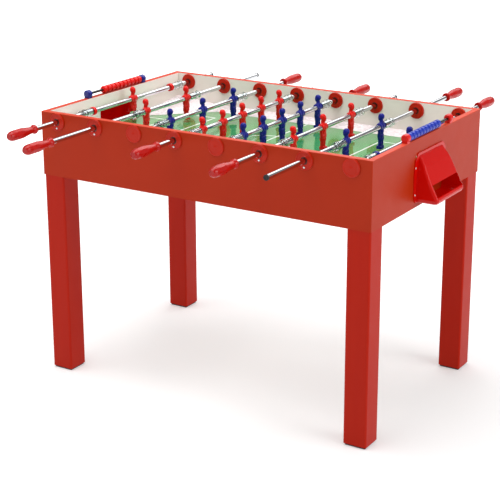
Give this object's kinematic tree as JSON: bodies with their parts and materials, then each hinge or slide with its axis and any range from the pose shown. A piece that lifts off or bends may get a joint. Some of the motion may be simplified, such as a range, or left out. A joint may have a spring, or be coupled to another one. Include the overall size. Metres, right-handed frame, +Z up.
{
  "type": "foosball table",
  "caption": "Four-legged table football game with sliding, turning rods of moulded figures, a goal and ball scoop at each end, and bead score counters on the end rims.",
  "frame": {"origin": "on the floor under the middle of the cabinet", "axes": "+Z up, +X along the cabinet's length towards the blue goalkeeper, +Y across the table along the rods, from the side with the red handles of the red team to the other side"},
  "size_m": [1.3266, 1.423, 0.9065],
  "materials": {
    "red_panel": "satin red laminate on board",
    "red_leg": "satin red paint on wood",
    "plain_board": "bare board",
    "green_field": "high-gloss printed green sheet on board",
    "white_ramp": "glossy off-white plastic",
    "red_moulding": "glossy saturated red plastic",
    "black_rubber": "matt black rubber",
    "red_plastic": "glossy red plastic",
    "chrome_tube": "bright chrome",
    "handle_red": "slightly translucent red plastic",
    "figure_red": "glossy red plastic",
    "figure_blue": "glossy dark blue plastic",
    "clear_bumper": "clear elastic plastic",
    "bearing": "dark brown-red nylon",
    "core_steel": "ground steel",
    "post_plastic": "glossy plastic, blue at one end and red at the other",
    "black_rail": "black painted steel",
    "bead_red": "satin red plastic",
    "bead_blue": "satin blue plastic",
    "zinc": "bright zinc plate"
  },
  "bodies": {
    "table": {"front_panel": "red_panel", "back_panel": "red_panel", "left_end_panel": "red_panel", "right_end_panel": "red_panel", "playfield": "green_field", "side_ramps": "white_ramp", "field_supports": "plain_board", "left_scoop": "red_moulding", "right_scoop": "red_moulding", "leg_front_left": "red_leg", "leg_front_right": "red_leg", "leg_back_left": "red_leg", "leg_back_right": "red_leg", "foot_pads": "black_rubber", "rod_flanges": "red_plastic", "score_posts": "post_plastic", "score_rails": "black_rail", "fasteners": "zinc"},
    "rod_1_swivel": {"rod_1_bearings": "bearing"},
    "rod_1": {"rod_1_tube": "chrome_tube", "rod_1_handle": "handle_red", "rod_1_figures": "figure_red", "rod_1_bumpers": "clear_bumper"},
    "rod_2_swivel": {"rod_2_bearings": "bearing"},
    "rod_2": {"rod_2_tube": "chrome_tube", "rod_2_handle": "handle_red", "rod_2_figures": "figure_red", "rod_2_bumpers": "clear_bumper"},
    "rod_3_swivel": {"rod_3_inner_rod": "core_steel"},
    "rod_3": {"rod_3_tube": "chrome_tube", "rod_3_handle": "handle_red", "rod_3_figures": "figure_blue", "rod_3_bumpers": "clear_bumper"},
    "rod_4_swivel": {"rod_4_bearings": "bearing"},
    "rod_4": {"rod_4_tube": "chrome_tube", "rod_4_handle": "handle_red", "rod_4_figures": "figure_red", "rod_4_bumpers": "clear_bumper"},
    "rod_5_swivel": {"rod_5_inner_rod": "core_steel"},
    "rod_5": {"rod_5_tube": "chrome_tube", "rod_5_handle": "handle_red", "rod_5_figures": "figure_blue", "rod_5_bumpers": "clear_bumper"},
    "rod_6_swivel": {"rod_6_bearings": "bearing"},
    "rod_6": {"rod_6_tube": "chrome_tube", "rod_6_handle": "handle_red", "rod_6_figures": "figure_red", "rod_6_bumpers": "clear_bumper"},
    "rod_7_swivel": {"rod_7_bearings": "bearing"},
    "rod_7": {"rod_7_tube": "chrome_tube", "rod_7_handle": "handle_red", "rod_7_figures": "figure_blue", "rod_7_bumpers": "clear_bumper"},
    "rod_8_swivel": {"rod_8_inner_rod": "core_steel"},
    "rod_8": {"rod_8_tube": "chrome_tube", "rod_8_handle": "handle_red", "rod_8_figures": "figure_blue", "rod_8_bumpers": "clear_bumper"},
    "left_score_beads": {"score_beads_left": "bead_red"},
    "right_score_beads": {"score_beads_right": "bead_blue"}
  },
  "joints": [
    {"name": "rod_1_turn", "type": "hinge", "parent": "table", "child": "rod_1_swivel", "pos_m": [-0.525, 0, 0.8515], "axis": [0, 1, 0], "range_deg": [-202, 50]},
    {"name": "rod_1_slide", "type": "slide", "parent": "rod_1_swivel", "child": "rod_1", "axis": [0, 1, 0], "range_m": [-0.093, 0.049]},
    {"name": "rod_2_turn", "type": "hinge", "parent": "table", "child": "rod_2_swivel", "pos_m": [-0.375, 0, 0.8515], "axis": [0, 1, 0], "continuous": true},
    {"name": "rod_2_slide", "type": "slide", "parent": "rod_2_swivel", "child": "rod_2", "axis": [0, 1, 0], "range_m": [-0.171, 0.159]},
    {"name": "rod_3_turn", "type": "hinge", "parent": "table", "child": "rod_3_swivel", "pos_m": [-0.225, 0, 0.8515], "axis": [0, 1, 0], "continuous": true},
    {"name": "rod_3_slide", "type": "slide", "parent": "rod_3_swivel", "child": "rod_3", "axis": [0, 1, 0], "range_m": [-0.095, 0.095]},
    {"name": "rod_4_turn", "type": "hinge", "parent": "table", "child": "rod_4_swivel", "pos_m": [-0.075, 0, 0.8515], "axis": [0, 1, 0], "continuous": true},
    {"name": "rod_4_slide", "type": "slide", "parent": "rod_4_swivel", "child": "rod_4", "axis": [0, 1, 0], "range_m": [-0.054, 0.044]},
    {"name": "rod_5_turn", "type": "hinge", "parent": "table", "child": "rod_5_swivel", "pos_m": [0.075, 0, 0.8515], "axis": [0, 1, 0], "continuous": true},
    {"name": "rod_5_slide", "type": "slide", "parent": "rod_5_swivel", "child": "rod_5", "axis": [0, 1, 0], "range_m": [-0.053, 0.045]},
    {"name": "rod_6_turn", "type": "hinge", "parent": "table", "child": "rod_6_swivel", "pos_m": [0.225, 0, 0.8515], "axis": [0, 1, 0], "continuous": true},
    {"name": "rod_6_slide", "type": "slide", "parent": "rod_6_swivel", "child": "rod_6", "axis": [0, 1, 0], "range_m": [-0.095, 0.095]},
    {"name": "rod_7_turn", "type": "hinge", "parent": "table", "child": "rod_7_swivel", "pos_m": [0.375, 0, 0.8515], "axis": [0, 1, 0], "continuous": true},
    {"name": "rod_7_slide", "type": "slide", "parent": "rod_7_swivel", "child": "rod_7", "axis": [0, 1, 0], "range_m": [-0.151, 0.179]},
    {"name": "rod_8_turn", "type": "hinge", "parent": "table", "child": "rod_8_swivel", "pos_m": [0.525, 0, 0.8515], "axis": [0, 1, 0], "range_deg": [-50, 202]},
    {"name": "rod_8_slide", "type": "slide", "parent": "rod_8_swivel", "child": "rod_8", "axis": [0, 1, 0], "range_m": [-0.061, 0.081]},
    {"name": "left_score_slide", "type": "slide", "parent": "table", "child": "left_score_beads", "axis": [0, 1, 0], "range_m": [-0.066, 0]},
    {"name": "right_score_slide", "type": "slide", "parent": "table", "child": "right_score_beads", "axis": [0, 1, 0], "range_m": [0, 0.066]}
  ]
}
